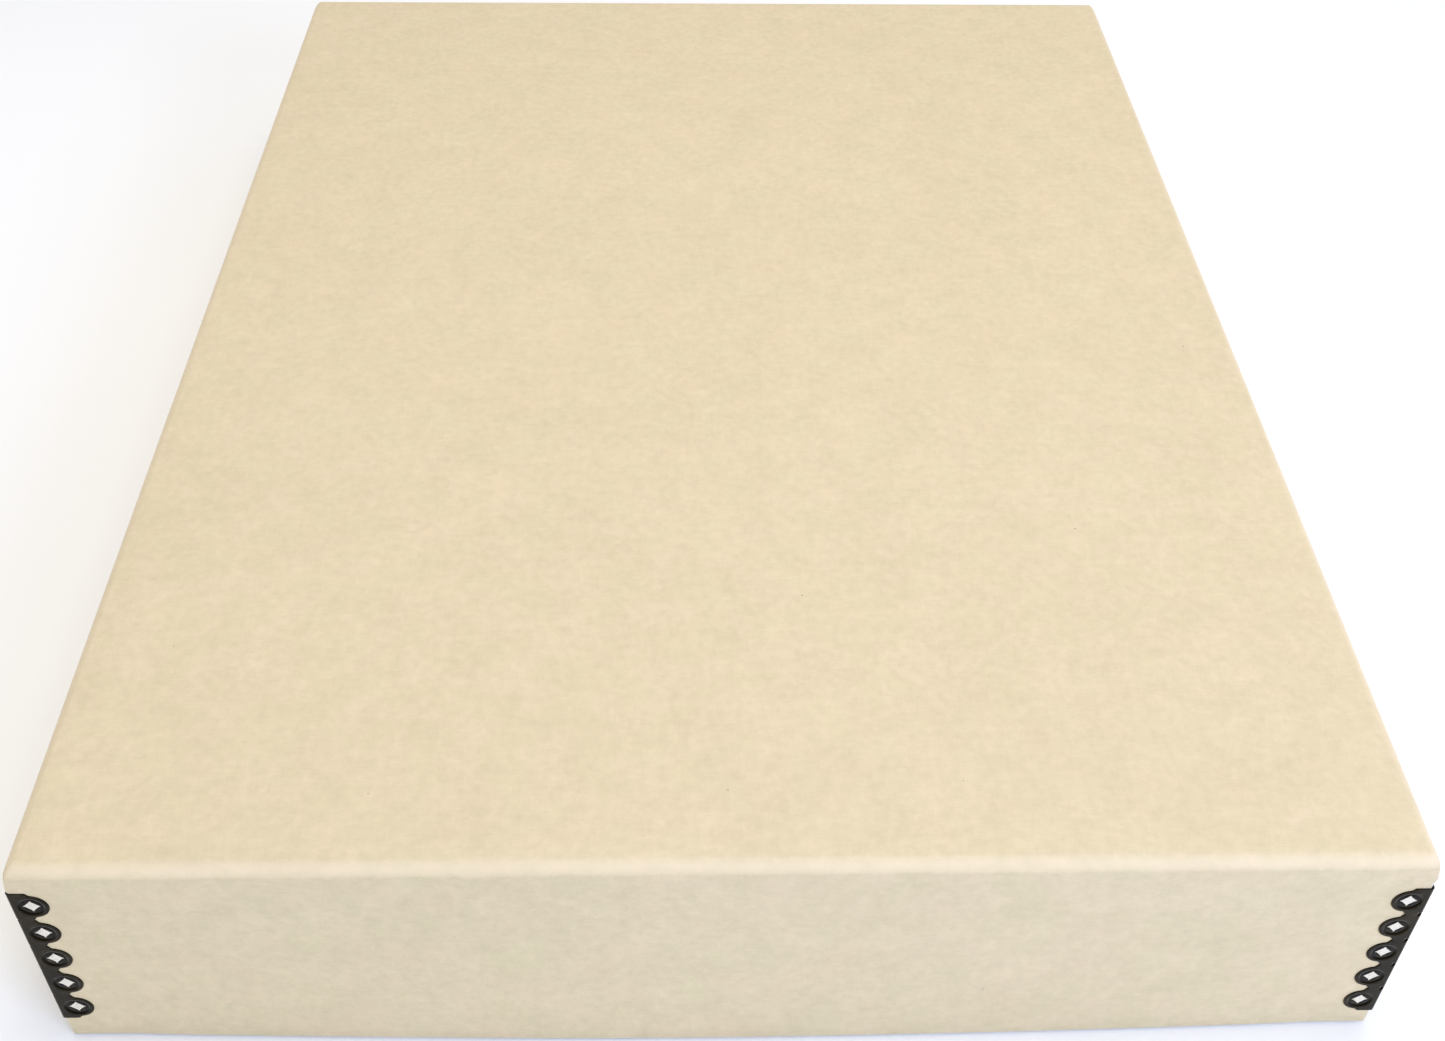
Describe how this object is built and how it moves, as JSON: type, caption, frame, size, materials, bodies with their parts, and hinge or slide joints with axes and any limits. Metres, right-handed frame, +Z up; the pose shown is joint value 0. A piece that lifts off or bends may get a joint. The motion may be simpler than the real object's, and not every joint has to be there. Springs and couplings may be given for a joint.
{
  "type": "archival box",
  "caption": "Flat archival storage box with metal-edge corners: a full-depth lid that lifts off an open tray.",
  "frame": {"origin": "centre of the tray's underside, on the surface that the box stands on", "axes": "+Z up, +Y along the box's length towards its back, +X along its width to the right"},
  "size_m": [0.3906, 0.5176, 0.0828],
  "materials": {
    "board": "matte",
    "metal_edge": "satin"
  },
  "bodies": {
    "tray": {"tray_board": "board", "tray_stay_front_left": "metal_edge", "tray_stay_front_right": "metal_edge", "tray_stay_back_left": "metal_edge", "tray_stay_back_right": "metal_edge"},
    "lid": {"lid_board": "board", "lid_stay_front_left": "metal_edge", "lid_stay_front_right": "metal_edge", "lid_stay_back_left": "metal_edge", "lid_stay_back_right": "metal_edge"}
  },
  "joints": [
    {"name": "lid_lift", "type": "slide", "parent": "tray", "child": "lid", "axis": [0, 0, 1], "range_m": [0, 0.15]}
  ]
}
